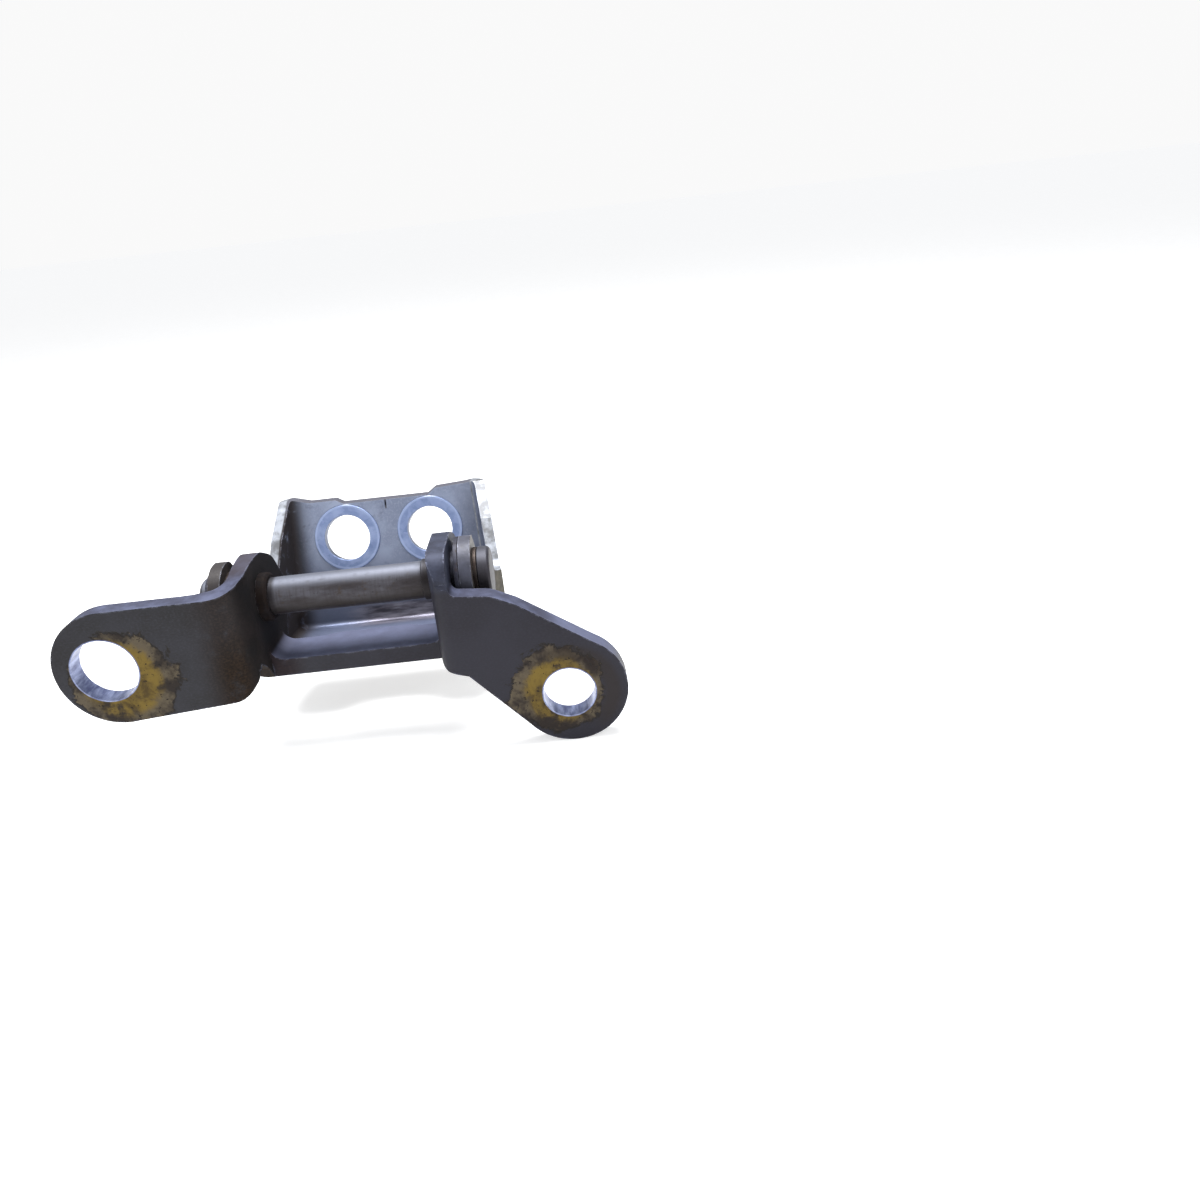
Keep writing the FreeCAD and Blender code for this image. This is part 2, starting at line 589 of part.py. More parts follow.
def build_door_bracket():
    body = trough("door_bracket", "0", side_profile(), "sheet + 1.4", back, "(shelf_top - sheet)")
    round_edges(body, "ear_ends", "x", spots(
        ("pin_y - door_ear_radius", "pin_z + door_ear_radius"),
        ("pin_y - door_ear_radius", "pin_z - 0.634 * door_ear_radius")), "door_ear_radius - 0.1")
    round_edges(body, "side_curves", "x", spots(
        ("pin_y + 2.5", "pin_z + door_ear_radius"), ("pin_y + 14", "pin_z - 5"),
        ("pin_y + 21", "pin_z - 6.5")), "3.5")
    inner_profile = [
        ("0 - 30", "shelf_top"), (face("shelf_top"), "shelf_top"), (face("60"), "60"), ("0 - 30", "60")]
    space = trough("door_space", "sheet", inner_profile, "1.6", face, "shelf_top")
    cut = body.newObject("PartDesign::Boolean", "door_hollow")
    cut.setObjects([space])
    cut.Type = "Cut"
    doc.recompute()
    body.Tip = cut
    assert cut.isValid() and cut.Shape.isValid(), "door_hollow failed"

    # top edge of the mounting plate: two shoulders with a long shallow notch between them
    notch = new_sketch(body, "top_notch_sketch", "XZ_Plane")
    steps = [
        ("notch_x1 - 1", "notch_top + 1"), ("notch_x1 + 0.8", "notch_top"),
        ("notch_x2 - 0.8", "notch_top"), ("notch_x2 + 1.2", "notch_top + 1.4")]
    add_polygon(notch, [("door_centre - 22.8", "face_top + 5"), ("door_centre - 22.4", "face_top"),
                        ("door_centre - 18", "notch_top + 1")] + steps
                + [("door_centre + 20", "notch_top + 1.8"), ("door_centre + 22.4", "face_top"),
                   ("door_centre + 22.8", "face_top + 5")])
    pocket_all(body, notch)
    round_edges(body, "notch_steps", "y", spots(*steps), "1.2")

    # scribed centre mark
    tick = plate_sketch(body, "centre_mark_sketch")
    half = "tick_deep / 2"
    top = "(notch_top * %s)" % LEAN
    add_polygon(tick, [
        ("tick_x - " + half, top + " - tick_len"), ("tick_x + " + half, top + " - tick_len"),
        ("tick_x + " + half, top + " + 2"), ("tick_x - " + half, top + " + 2")])
    pocket(body, tick, "tick_deep")

    # free edge of the lower web: clipped corners and a notch in the middle
    edge = new_sketch(body, "web_edge_sketch", "XY_Plane", "shelf_top + 2.5")
    add_polygon(edge, [
        ("door_centre - 40", "shelf_front - 5"), ("door_centre - 40", "shelf_front + 19"),
        ("door_centre - 28", "shelf_front + 9"), ("door_centre - 20", "shelf_front"),
        ("door_centre - 11", "shelf_front"), ("door_centre - 6", "shelf_front + 3.8"),
        ("door_centre + 6", "shelf_front + 3.8"), ("door_centre + 11", "shelf_front"),
        ("door_centre + 20", "shelf_front"), ("door_centre + 28", "shelf_front + 9"),
        ("door_centre + 40", "shelf_front + 19"), ("door_centre + 40", "shelf_front - 5")])
    pocket(body, edge, "20")

    # seats for the bushes and for the two rings
    ears = new_sketch(body, "bush_seats_sketch", "YZ_Plane")
    add_circle(ears, "pin_y", "pin_z", "bush_dia")
    pocket_all(body, ears)
    seats = plate_sketch(body, "ring_seats_sketch")
    add_circle(seats, "seat_x1", "seat_up", "seat_ring_dia")
    add_circle(seats, "seat_x2", "seat_up", "seat_ring_dia")
    pocket_all(body, seats)
    return body


def build_seat_ring(name, x):
    body = new_body(name)
    ring = plate_sketch(body, name + "_sketch", "seat_raise")
    add_circle(ring, x, "seat_up", "seat_ring_dia")
    add_circle(ring, x, "seat_up", "seat_hole_dia")
    pad(body, ring, "sheet + seat_raise", reverse=True)
    return body


def build():
    rings = [build_seat_ring("seat_ring_peened_end", "seat_x1"), build_seat_ring("seat_ring_head_end", "seat_x2")]
    return [build_pillar_bracket(), build_door_bracket()] + build_pin_line() + rings


bodies = build()
doc.recompute()
for body in bodies:
    shape = body.Shape
    assert not shape.isNull() and shape.isValid(), body.Label + " is not a sound shape"
    print(body.Label, round(shape.Volume, 1), len(shape.Solids))
    shape.exportStep("parts/" + body.Label + ".step")
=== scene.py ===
import json
import math

import bpy
from mathutils import Euler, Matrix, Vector


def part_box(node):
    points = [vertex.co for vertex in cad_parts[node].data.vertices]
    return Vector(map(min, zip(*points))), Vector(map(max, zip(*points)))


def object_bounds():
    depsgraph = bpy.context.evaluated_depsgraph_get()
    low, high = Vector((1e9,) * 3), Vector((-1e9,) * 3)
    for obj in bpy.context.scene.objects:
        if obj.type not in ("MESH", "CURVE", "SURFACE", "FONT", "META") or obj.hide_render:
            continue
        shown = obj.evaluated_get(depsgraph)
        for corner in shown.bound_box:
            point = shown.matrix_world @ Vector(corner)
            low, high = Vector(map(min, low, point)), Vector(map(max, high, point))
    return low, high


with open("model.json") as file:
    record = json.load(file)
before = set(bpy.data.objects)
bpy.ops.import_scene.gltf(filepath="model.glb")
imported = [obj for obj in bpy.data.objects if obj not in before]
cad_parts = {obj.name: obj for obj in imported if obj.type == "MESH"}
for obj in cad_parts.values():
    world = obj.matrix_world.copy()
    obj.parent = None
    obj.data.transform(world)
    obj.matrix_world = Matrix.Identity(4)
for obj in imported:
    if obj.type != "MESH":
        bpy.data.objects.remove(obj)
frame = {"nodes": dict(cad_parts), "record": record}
CAD_BOX = [[float(value) for value in corner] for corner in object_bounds()]
MM = 0.001

# -------- places, all in millimetres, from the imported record

MOUNTS = {mount["name"]: mount for mount in frame["record"]["mounts"]}


def in_mm(place):
    return tuple(value / MM for value in place)


HOLE_A = in_mm(MOUNTS["pillar_bolt_hole_large"]["pos_m"])
HOLE_B = in_mm(MOUNTS["pillar_bolt_hole_small"]["pos_m"])
RADIUS_A = MOUNTS["pillar_bolt_hole_large"]["dims"]["r_mm"]
RADIUS_B = MOUNTS["pillar_bolt_hole_small"]["dims"]["r_mm"]
RING_A = in_mm(MOUNTS["door_bolt_hole_peened_end"]["pos_m"])
RING_B = in_mm(MOUNTS["door_bolt_hole_head_end"]["pos_m"])
PIN_BOX = [in_mm(corner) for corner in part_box("hinge_pin")]
PIN_Y = (PIN_BOX[0][1] + PIN_BOX[1][1]) / 2
DOOR_BOX = [in_mm(corner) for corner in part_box("door_bracket")]
DOOR_MIDDLE = (DOOR_BOX[0][0] + DOOR_BOX[1][0]) / 2
COLLAR_BOX = [in_mm(corner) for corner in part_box("pin_collar")]
EAR_A_IN = COLLAR_BOX[0][0]
SPACER_BOX = [in_mm(corner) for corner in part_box("spacer_ring")]
EAR_PLATE = 3.8
EAR_B_IN = SPACER_BOX[0][0] - EAR_PLATE
# the door bracket narrows by FLARE_RATE a side per millimetre behind y = FLARE_Y; its sides' sheared
# edges start FLANGE_FROM from its middle there
FLARE_Y = 30.0
FLARE_RATE = 0.133
FLANGE_FROM = 25.2
HOLLOW_MIDDLE = (DOOR_MIDDLE, 30, 4)
RING_RADIUS = 8.0
TICK_X = (RING_A[0] + RING_B[0]) / 2 + 0.1


# -------- a short way to write node materials

def linear(red, green, blue):
    """A colour given as 0-255 screen values, as the shader wants it."""
    def one(value):
        value /= 255
        return value / 12.92 if value <= 0.04045 else ((value + 0.055) / 1.055) ** 2.4
    return (one(red), one(green), one(blue), 1.0)


class Nodes:
    """Node tree of one material; every position in it is in millimetres."""

    def __init__(self, name):
        self.material = bpy.data.materials.new(name)
        self.material.use_nodes = True
        self.tree = self.material.node_tree
        self.tree.nodes.clear()
        place = self.add("ShaderNodeTexCoord")
        scaled = self.add("ShaderNodeVectorMath", operation="SCALE")
        scaled.inputs["Scale"].default_value = 1 / MM
        self.link(place.outputs["Object"], scaled.inputs[0])
        self.place = scaled.outputs[0]
        split = self.add("ShaderNodeSeparateXYZ")
        self.link(self.place, split.inputs[0])
        self.x, self.y, self.z = split.outputs
        self.normal = self.add("ShaderNodeNewGeometry").outputs["Normal"]
        facing = self.add("ShaderNodeVectorTransform")
        facing.vector_type = "NORMAL"
        facing.convert_from = "WORLD"
        facing.convert_to = "OBJECT"
        self.link(self.normal, facing.inputs[0])
        self.facing = facing.outputs[0]
        turned = self.add("ShaderNodeSeparateXYZ")
        self.link(self.facing, turned.inputs[0])
        self.nx, self.ny, self.nz = turned.outputs

    def add(self, kind, **settings):
        node = self.tree.nodes.new(kind)
        for key, value in settings.items():
            setattr(node, key, value)
        return node

    def link(self, source, target):
        self.tree.links.new(source, target)

    def feed(self, value, target):
        if hasattr(value, "links"):
            self.link(value, target)
        else:
            target.default_value = value

    def calc(self, operation, a, b=0.0):
        node = self.add("ShaderNodeMath", operation=operation)
        for value, target in zip((a, b), node.inputs):
            self.feed(value, target)
        return node.outputs[0]

    def step(self, value, low, high):
        """0 below low, 1 above high, smooth between them; low may be the larger."""
        node = self.add("ShaderNodeMapRange", interpolation_type="SMOOTHSTEP")
        self.feed(value, node.inputs["Value"])
        if low <= high:
            ends = (low, high, 0.0, 1.0)
        else:
            ends = (high, low, 1.0, 0.0)
        for key, end in zip(("From Min", "From Max", "To Min", "To Max"), ends):
            node.inputs[key].default_value = end
        return node.outputs["Result"]

    def band(self, value, centre, half):
        """1 at the centre of a range and 0 outside it."""
        away = self.calc("ABSOLUTE", self.calc("SUBTRACT", value, centre))
        return self.step(away, half, half * 0.25)

    def noise(self, size, detail=4.0, rough=0.55, stretch=(1, 1, 1), offset=(0, 0, 0), warp=0.0):
        """Noise whose lumps are about that many millimetres across, 0 to 1 round 0.5."""
        mapping = self.add("ShaderNodeMapping")
        mapping.inputs["Scale"].default_value = stretch
        mapping.inputs["Location"].default_value = offset
        self.link(self.place, mapping.inputs["Vector"])
        node = self.add("ShaderNodeTexNoise")
        node.inputs["Scale"].default_value = 1 / size
        node.inputs["Detail"].default_value = detail
        node.inputs["Roughness"].default_value = rough
        node.inputs["Distortion"].default_value = warp
        self.link(mapping.outputs[0], node.inputs["Vector"])
        return node.outputs[0]

    def mix(self, factor, a, b):
        node = self.add("ShaderNodeMix", data_type="RGBA")
        self.feed(factor, node.inputs[0])
        self.feed(a, node.inputs[6])
        self.feed(b, node.inputs[7])
        return node.outputs[2]

    def two_tone(self, mask, low, high, dark, light):
        """Dark below low and light above high, both given as 0-255 screen values."""
        return self.mix(self.step(mask, low, high), linear(*dark), linear(*light))

    def blend(self, factor, a, b):
        """Like mix, for numbers."""
        node = self.add("ShaderNodeMix", data_type="FLOAT")
        for value, target in zip((factor, a, b), (node.inputs[0], node.inputs[2], node.inputs[3])):
            self.feed(value, target)
        return node.outputs[0]

    def both(self, *masks):
        result = masks[0]
        for mask in masks[1:]:
            result = self.calc("MULTIPLY", result, mask)
        return result

    def either(self, *masks):
        result = masks[0]
        for mask in masks[1:]:
            result = self.calc("MAXIMUM", result, mask)
        return result

    def distance(self, centre, squeeze=(1, 1, 1)):
        """Distance from a point, each axis weighed by squeeze; 0 ignores that axis."""
        away = self.add("ShaderNodeVectorMath", operation="SUBTRACT")
        self.link(self.place, away.inputs[0])
        away.inputs[1].default_value = centre
        weighed = self.add("ShaderNodeVectorMath", operation="MULTIPLY")
        self.link(away.outputs[0], weighed.inputs[0])
        weighed.inputs[1].default_value = squeeze
        length = self.add("ShaderNodeVectorMath", operation="LENGTH")
        self.link(weighed.outputs[0], length.inputs[0])
        return length.outputs["Value"]

    def edges(self, radius, low=0.01, high=0.12):
        """1 on outside and inside edges, where the rounded normal leaves the true one."""
        soft = self.add("ShaderNodeBevel", samples=6)
        soft.inputs["Radius"].default_value = radius * MM
        dot = self.add("ShaderNodeVectorMath", operation="DOT_PRODUCT")
        self.link(soft.outputs[0], dot.inputs[0])
        self.link(self.normal, dot.inputs[1])
        return self.step(self.calc("SUBTRACT", 1.0, dot.outputs["Value"]), low, high)

    def bump(self, height, depth_mm, strength=1.0):
        node = self.add("ShaderNodeBump")
        node.inputs["Strength"].default_value = strength
        node.inputs["Distance"].default_value = depth_mm * MM
        self.link(height, node.inputs["Height"])
        return node.outputs[0]

    def finish(self, colour, roughness, metallic, normal, gloss=0.35):
        shader = self.add("ShaderNodeBsdfPrincipled")
        shader.inputs["Specular IOR Level"].default_value = gloss
        self.feed(colour, shader.inputs["Base Color"])
        self.feed(roughness, shader.inputs["Roughness"])
        self.feed(metallic, shader.inputs["Metallic"])
        self.link(normal, shader.inputs["Normal"])
        output = self.add("ShaderNodeOutputMaterial")
        self.link(shader.outputs[0], output.inputs["Surface"])
        return self.material


# -------- materials

# how far the torn edge of the dried grease wanders
RAGGED_MM = 9.0


def grease(n, hole, shift, reach, thick_reach, front, tear):
    """Masks of the dried grease round a bolt hole: whole patch, dark torn edge, thick yellow part."""
    ragged_by = n.calc("MULTIPLY", n.calc("SUBTRACT", tear, 0.5), RAGGED_MM)
    ragged = n.calc("ADD", n.distance((hole[0] + shift[0], 0, hole[2] + shift[1]), (1, 0, 1)), ragged_by)
    patch = n.both(n.step(ragged, reach, reach - 0.7), front)
    rim = n.both(n.band(ragged, reach - 0.2, 0.55), front)
    near = n.distance((hole[0] + shift[0] * 0.75, 0, hole[2] + shift[1] * 0.75), (1, 0, 1))
    near = n.calc("ADD", near, n.calc("MULTIPLY", ragged_by, 0.5))
    thick = n.both(n.step(near, thick_reach, thick_reach - 2.2), front)
    return patch, rim, thick


def greased_holes(n, colour, patchy, tear, front):
    """Dried grease round both bolt holes over a colour; gives the new colour, the grease and the soot."""
    parts_a = grease(n, HOLE_A, shift=(3.4, -3.0), reach=11.0, thick_reach=8.9, front=front, tear=tear)
    parts_b = grease(n, HOLE_B, shift=(-2.6, 0.8), reach=10.2, thick_reach=8.3, front=front, tear=tear)
    patch = n.either(parts_a[0], parts_b[0])
    rim = n.either(parts_a[1], parts_b[1])
    thick = n.either(parts_a[2], parts_b[2])
    film = n.two_tone(patchy, 0.4, 0.62, (44, 37, 31), (95, 85, 68))
    ochre = n.two_tone(tear, 0.38, 0.62, (112, 93, 42), (72, 58, 30))
    colour = n.mix(n.both(patch, 0.8), colour, film)
    colour = n.mix(n.both(thick, n.step(patchy, 0.34, 0.52), 0.95), colour, ochre)
    # the far side of the second hole is burnt darker
    burnt = n.both(n.band(n.distance((HOLE_B[0], 0, HOLE_B[2]), (1, 0, 1)), RADIUS_B + 3.6, 2.6), front,
                   n.step(n.calc("ADD", n.x, n.calc("MULTIPLY", n.z, 0.6)), HOLE_B[0] + HOLE_B[2] * 0.6 - 2,
                          HOLE_B[0] + HOLE_B[2] * 0.6 + 5))
    colour = n.mix(n.both(burnt, 0.6), colour, linear(36, 28, 24))
    speck = n.both(n.either(patch, rim), n.step(n.noise(1.1, 4, 0.7, (1, 1, 1), (3, 1, 8)), 0.6, 0.64))
    broken = n.both(rim, n.step(n.noise(1.6, 3, 0.6, offset=(5, 5, 1)), 0.4, 0.48))
    soot = n.either(n.both(speck, 0.9), n.both(broken, 0.95))
    return n.mix(soot, colour, linear(30, 26, 24)), patch, soot


def dark_plate():
    n = Nodes("dark_plate")
    cloud = n.noise(14, 3, 0.6)
    grain = n.noise(0.55, 3, 0.6, (1, 1, 1.6))
    fleck = n.noise(0.28, 2, 0.5)
    patchy = n.noise(5, 5, 0.65, offset=(9, 3, 1))
    tear = n.noise(4.2, 6, 0.68, offset=(2, 7, 5), warp=0.6)
    front = n.step(n.ny, -0.6, -0.9)
    upward = n.step(n.nz, 0.35, 0.9)

    slate = n.two_tone(cloud, 0.35, 0.65, (35, 34, 36), (43, 43, 48))
    slate = n.mix(n.both(n.step(grain, 0.4, 0.75), 0.45), slate, linear(55, 55, 63))
    slate = n.mix(n.both(n.step(fleck, 0.62, 0.72), 0.45), slate, linear(46, 42, 40))
    # bluer towards the second tab
    slate = n.mix(n.both(n.step(n.x, 20, 60), 0.5), slate, linear(34, 32, 44))

    # brown rust where the plate bends into the first ear, and in the shade under it
    bend = n.both(n.step(n.x, EAR_A_IN - 13, EAR_A_IN - 5), n.step(n.x, EAR_A_IN + 8, EAR_A_IN + 2))
    low = n.step(n.z, 8, -4)
    rust = n.both(bend, n.step(patchy, 0.22, 0.5), n.calc("ADD", n.calc("MULTIPLY", low, 0.35), 0.65))
    brown = n.two_tone(grain, 0.35, 0.7, (24, 16, 10), (42, 30, 20))
    colour = n.mix(rust, slate, brown)
    # painted shade: low down inside the first ear, beside and under the collar, the colour is painted darker
    deep_shade = n.both(n.step(n.x, EAR_A_IN - 0.5, EAR_A_IN + 0.3), n.step(n.x, EAR_A_IN + 9, EAR_A_IN + 2),
                  n.step(n.z, -1, -4), n.step(n.y, 6, 8))
    colour = n.mix(n.both(deep_shade, 0.5), colour, linear(46, 40, 48))

    # painted shade: the first ear's inner face is painted near black where shade falls on it
    shaded_inner_face = n.both(n.step(n.nx, 0.35, 0.75), n.step(n.x, EAR_A_IN - 3.5, EAR_A_IN - 1),
                   n.step(n.x, EAR_A_IN + 0.8, EAR_A_IN + 0.2))
    darkened = n.two_tone(patchy, 0.35, 0.65, (8, 6, 7), (22, 17, 18))
    colour = n.mix(n.both(shaded_inner_face, 0.9), colour, darkened)

    # painted light: upper faces and the top of the web are painted lighter, with a lilac cast
    painted_top_light = n.two_tone(patchy, 0.35, 0.7, (62, 64, 82), (90, 95, 120))
    colour = n.mix(n.both(upward, 0.85), colour, painted_top_light)

    # painted shade: the top edge of the first ear is painted darker and browner towards the pin
    shaded = n.both(n.step(n.x, EAR_A_IN - 7, EAR_A_IN - 3), n.step(n.x, EAR_A_IN + 4, EAR_A_IN + 1),
                    n.step(n.y, 4, 9))
    colour = n.mix(n.both(shaded, upward, 0.6), colour, linear(52, 42, 40))
    # painted light: the top of the web is painted lighter still
    lit_web_top = n.both(upward, n.step(n.z, 2, -2))
    colour = n.mix(n.both(lit_web_top, 0.5), colour, linear(104, 109, 134))
    # sheared edge of the second ear
    lip = n.both(n.step(n.x, EAR_B_IN - 1, EAR_B_IN), n.step(n.x, EAR_B_IN + 5, EAR_B_IN + 4),
                 n.step(n.z, 8, 9.5))
    lip_colour = n.two_tone(patchy, 0.35, 0.7, (40, 42, 54), (58, 62, 78))
    colour = n.mix(n.both(lip, 0.9), colour, lip_colour)

    colour, patch, soot = greased_holes(n, colour, patchy, tear, front)

    # bare bright walls of the holes, then edges rubbed to metal
    wall_a = n.step(n.distance(HOLE_A, (1, 0, 1)), RADIUS_A + 0.34, RADIUS_A + 0.1)
    wall_b = n.step(n.distance(HOLE_B, (1, 0, 1)), RADIUS_B + 0.34, RADIUS_B + 0.1)
    bare = n.either(wall_a, wall_b)
    streak = n.noise(1.3, 4, 0.6, (1, 0.25, 1), (1, 1, 1))
    colour = n.mix(bare, colour, n.two_tone(streak, 0.32, 0.72, (86, 93, 128), (156, 166, 200)))
    wear = n.both(n.edges(0.7), n.step(n.noise(1.5, 4, 0.65, offset=(4, 4, 4)), 0.45, 0.6))
    wear = n.both(wear, n.step(n.nz, -0.35, 0.35))
    colour = n.mix(n.both(wear, 0.7), colour, linear(128, 132, 152))

    height = n.calc("ADD", n.calc("MULTIPLY", grain, 0.2), n.calc("MULTIPLY", tear, 0.5))
    height = n.calc("ADD", height, n.calc("MULTIPLY", patch, 0.5))
    height = n.calc("SUBTRACT", height, n.calc("MULTIPLY", soot, 0.5))
    rough = n.blend(n.either(patch, rust, shaded_inner_face), n.calc("ADD", 0.36, n.calc("MULTIPLY", grain, 0.22)), 0.78)
    rough = n.blend(upward, rough, 0.58)
    rough = n.blend(n.either(bare, n.both(wear, 0.7)), rough, 0.3)
    metal = n.blend(n.either(patch, rust, n.calc("SUBTRACT", 1.0, upward)), 0.25, 0.05)
    metal = n.blend(n.either(n.both(bare, 0.6), n.both(wear, 0.8)), metal, 0.95)
    return n.finish(colour, rough, metal, n.bump(height, 0.10, 0.6), 0.18)


def inside_of_sheet(n):
    """1 on the faces of the door bracket that look into its hollow."""
    inward = n.add("ShaderNodeVectorMath", operation="SUBTRACT")
    inward.inputs[0].default_value = HOLLOW_MIDDLE
    n.link(n.place, inward.inputs[1])
    dot = n.add("ShaderNodeVectorMath", operation="DOT_PRODUCT")
    n.link(inward.outputs[0], dot.inputs[0])
    n.link(n.facing, dot.inputs[1])
    return n.step(dot.outputs["Value"], -0.5, 0.5)


def pressed_sheet():
    n = Nodes("pressed_sheet")
    cloud = n.noise(9, 4, 0.6)
    drawn = n.noise(1.6, 4, 0.6, (0.18, 1, 1))
    grain = n.noise(0.45, 2, 0.6)
    patchy = n.noise(4, 5, 0.65, offset=(1, 8, 3), warp=0.4)
    inside = inside_of_sheet(n)
    aside = n.calc("ABSOLUTE", n.calc("SUBTRACT", n.x, DOOR_MIDDLE))
    flange_place = n.calc("ADD", aside, n.calc("MULTIPLY", n.calc("SUBTRACT", n.y, FLARE_Y), FLARE_RATE))
    across = n.calc("ABSOLUTE", n.nx)
    free_edge = n.both(n.step(flange_place, FLANGE_FROM, FLANGE_FROM + 0.4), n.step(across, 0.5, 0.3),
                       n.step(n.z, -12, -9), n.step(n.ny, 0.6, 0.3))

    lilac = n.two_tone(cloud, 0.32, 0.68, (134, 143, 166), (160, 170, 194))
    lilac = n.mix(n.both(n.step(grain, 0.45, 0.75), 0.5), lilac, linear(168, 176, 198))
    lilac = n.mix(n.both(n.step(patchy, 0.58, 0.72), 0.5), lilac, linear(100, 102, 118))
    lilac = n.mix(n.both(n.step(n.z, 6, -7), 0.85), lilac, linear(92, 99, 122))
    # soot and oil, with painted shade, in the corners beside the flanges, worst on the first one
    corner = n.step(flange_place, 19.4, 24.8)
    first = n.step(n.x, DOOR_MIDDLE + 6, DOOR_MIDDLE - 6)
    share = n.calc("ADD", n.calc("MULTIPLY", first, 0.62), 0.36)
    soot_and_corner_shade = n.both(corner, share, n.step(patchy, 0.1, 0.45))
    colour_in = n.mix(soot_and_corner_shade, lilac, linear(34, 27, 25))
    # scribed centre mark between the two rings
    tick = n.both(n.band(n.x, TICK_X, 0.3), n.step(n.z, 12.6, 13.0), n.step(n.y, 45, 46))
    colour_in = n.mix(tick, colour_in, linear(18, 16, 18))
    # outside: olive and yellow-brown, brushed along the press direction
    olive = n.two_tone(drawn, 0.35, 0.68, (66, 62, 54), (86, 81, 70))
    olive = n.mix(n.both(n.step(patchy, 0.5, 0.68), 0.4), olive, linear(74, 58, 38))
    fleck = n.step(n.noise(0.7, 3, 0.6, offset=(2, 2, 9)), 0.62, 0.7)
    olive = n.mix(n.both(fleck, 0.6), olive, linear(36, 30, 25))
    colour = n.mix(inside, olive, colour_in)
    # painted shade: the ears are painted dark, their edges bluish and the first ear's edges darker
    ear = n.step(n.y, PIN_Y + 15, PIN_Y + 9)
    ear_shade = n.two_tone(patchy, 0.4, 0.65, (34, 30, 30), (60, 53, 50))
    ear_rim = n.two_tone(patchy, 0.3, 0.7, (52, 53, 65), (76, 79, 95))
    ear_rim = n.mix(first, ear_rim, linear(44, 40, 43))
    ear_shade = n.mix(n.step(across, 0.6, 0.3), ear_shade, ear_rim)
    colour = n.mix(n.both(ear, 0.85), colour, ear_shade)
    # sheared edges: bright
    worn = n.noise(3.0, 3, 0.6, offset=(8, 8, 8))
    edge_colour = n.two_tone(worn, 0.35, 0.6, (110, 111, 114), (158, 162, 170))
    sheared = n.both(free_edge, n.step(n.y, PIN_Y + 6, PIN_Y + 10))
    colour = n.mix(sheared, colour, edge_colour)
    top_edge = n.both(n.step(n.z, 13, 14), n.step(n.nz, 0.55, 0.8), n.step(n.y, 40, 42),
                      n.step(aside, 23, 22))
    colour = n.mix(top_edge, colour, linear(84, 84, 94))
    # lower bend, seen under the pin, rubbed to silver
    bend = n.both(inside, n.step(n.z, -8.5, -10.5), n.step(n.y, 40, 43))
    silver = n.two_tone(drawn, 0.35, 0.7, (60, 58, 68), (134, 132, 146))
    colour = n.mix(n.both(bend, n.step(n.x, DOOR_MIDDLE - 14, DOOR_MIDDLE - 4)), colour, silver)
    wear = n.both(n.edges(0.5), n.step(n.noise(2.0, 4, 0.65, offset=(6, 1, 4)), 0.45, 0.6))
    colour = n.mix(n.both(wear, 0.6), colour, linear(150, 152, 166))

    bright = n.either(sheared, bend, n.both(wear, 0.6))
    rough = n.blend(bright, n.calc("ADD", 0.34, n.calc("MULTIPLY", grain, 0.24)), 0.36)
    rough = n.blend(n.both(soot_and_corner_shade, inside), rough, 0.75)
    metal = n.blend(inside, 0.35, 0.6)
    metal = n.blend(n.either(n.both(soot_and_corner_shade, inside), n.both(ear, 0.7)), metal, 0.1)
    metal = n.blend(bright, metal, 0.6)
    height = n.calc("ADD", n.calc("MULTIPLY", drawn, 0.6), n.calc("MULTIPLY", grain, 0.5))
    return n.finish(colour, rough, metal, n.bump(height, 0.06, 0.5), 0.3)


def oiled_steel(name, dark, light, rust, rust_share, roughness, metallic, gloss=0.35, shade=None):
    """Steel of the pin line: turned rings across the axis, an oily film and rust in patches."""
    n = Nodes(name)
    rings = n.noise(0.5, 3, 0.6, (1, 0.05, 0.05))
    along = n.noise(2.2, 4, 0.6, (0.25, 1, 1))
    patchy = n.noise(1.8, 5, 0.7, offset=(4, 2, 6))
    colour = n.two_tone(along, 0.3, 0.7, dark, light)
    colour = n.mix(n.both(n.step(rings, 0.4, 0.7), 0.35), colour, linear(*dark))
    film = n.both(n.step(patchy, 0.66 - 0.3 * rust_share, 0.74 - 0.2 * rust_share), 0.85)
    colour = n.mix(film, colour, linear(*rust))
    speck = n.step(n.noise(0.45, 3, 0.7, offset=(3, 9, 1)), 0.62, 0.7)
    colour = n.mix(n.both(speck, 0.6), colour, linear(28, 24, 24))
    wear = n.both(n.edges(0.3), n.step(along, 0.4, 0.6))
    colour = n.mix(n.both(wear, 0.7), colour, linear(118, 116, 122))
    if shade:
        colour = shade(n, colour)
    rough = n.blend(film, n.calc("ADD", roughness, n.calc("MULTIPLY", rings, 0.14)), 0.7)
    metal = n.blend(film, metallic, 0.15)
    height = n.calc("ADD", n.calc("MULTIPLY", rings, 0.5), n.calc("MULTIPLY", film, 0.4))
    return n.finish(colour, rough, metal, n.bump(height, 0.04, 0.5), gloss)


def pin_shade(n, colour):
    """Painted highlight on top and painted shade in brown below; darker beside both ears; dark with old
    lubricant on the formed head.
    """
    darkened = n.either(n.band(n.x, EAR_B_IN - 1.4, 2.2), n.band(n.x, COLLAR_BOX[1][0] + 0.2, 1.4))
    head = n.step(n.x, PIN_BOX[1][0] - 5, PIN_BOX[1][0] - 4)
    # painted highlight: faces turned up are painted lighter
    colour = n.mix(n.step(n.nz, 0.45, 0.95), colour, linear(98, 101, 112))
    # painted shade: faces turned down are painted dark brown
    colour = n.mix(n.both(n.step(n.nz, 0.3, -0.5), 0.85), colour, linear(34, 29, 27))
    colour = n.mix(n.both(darkened, 0.85), colour, linear(28, 24, 26))
    return n.mix(n.both(head, 0.7), colour, linear(44, 42, 48))


